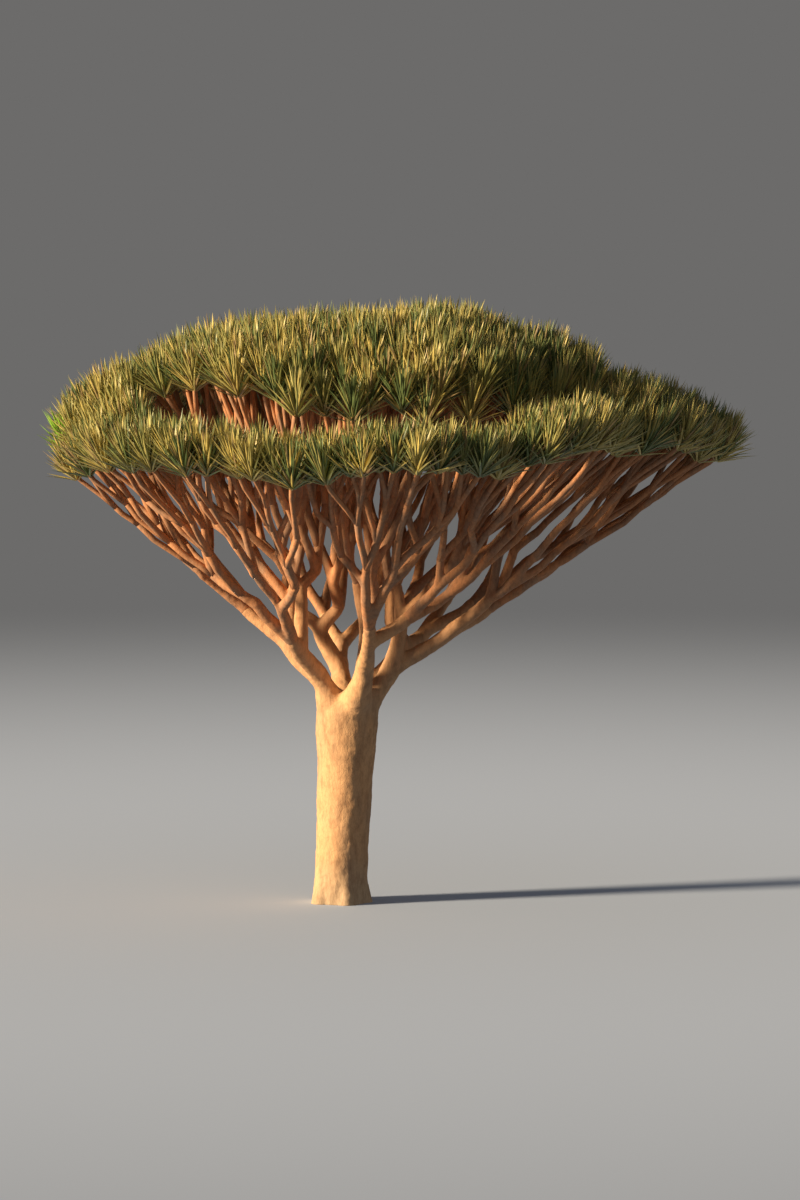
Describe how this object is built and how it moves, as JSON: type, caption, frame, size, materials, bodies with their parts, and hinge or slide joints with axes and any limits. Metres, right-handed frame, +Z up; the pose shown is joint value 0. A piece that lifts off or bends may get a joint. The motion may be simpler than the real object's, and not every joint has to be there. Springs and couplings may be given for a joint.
{
  "type": "dragon blood tree",
  "caption": "Umbrella-shaped evergreen tree: stout pale trunk, boughs that fork in twos, and a shallow dense dome of stiff leaves.",
  "frame": {"origin": "middle of the flat cut under the trunk, at ground level", "axes": "+Z up the trunk, +X to the right and +Y away from the viewer in the picture's view"},
  "size_m": [7.5735, 7.7521, 6.3683],
  "materials": {
    "bark": "pale smooth bark with fine cracks",
    "foliage": "stiff waxy olive-green leaves"
  },
  "bodies": {
    "root": {"bough_1": "bark", "bough_1a": "bark", "bough_1aa": "bark", "bough_1ab": "bark", "bough_1b": "bark", "bough_1ba": "bark", "bough_1bb": "bark", "bough_2": "bark", "bough_2a": "bark", "bough_2aa": "bark", "bough_2ab": "bark", "bough_2b": "bark", "bough_2ba": "bark", "bough_2bb": "bark", "bough_3": "bark", "bough_3a": "bark", "bough_3aa": "bark", "bough_3ab": "bark", "bough_3b": "bark", "bough_3ba": "bark", "bough_3bb": "bark", "bough_4": "bark", "bough_4a": "bark", "bough_4aa": "bark", "bough_4ab": "bark", "bough_4b": "bark", "bough_4ba": "bark", "bough_4bb": "bark", "bough_5": "bark", "bough_5a": "bark", "bough_5aa": "bark", "bough_5ab": "bark", "bough_5b": "bark", "bough_5ba": "bark", "bough_5bb": "bark", "leaf_mass_1aa": "foliage", "leaf_mass_1ab": "foliage", "leaf_mass_1ba": "foliage", "leaf_mass_1bb": "foliage", "leaf_mass_2aa": "foliage", "leaf_mass_2ab": "foliage", "leaf_mass_2ba": "foliage", "leaf_mass_2bb": "foliage", "leaf_mass_3aa": "foliage", "leaf_mass_3ab": "foliage", "leaf_mass_3ba": "foliage", "leaf_mass_3bb": "foliage", "leaf_mass_4aa": "foliage", "leaf_mass_4ab": "foliage", "leaf_mass_4ba": "foliage", "leaf_mass_4bb": "foliage", "leaf_mass_5aa": "foliage", "leaf_mass_5ab": "foliage", "leaf_mass_5ba": "foliage", "leaf_mass_5bb": "foliage", "trunk": "bark"}
  },
  "joints": []
}
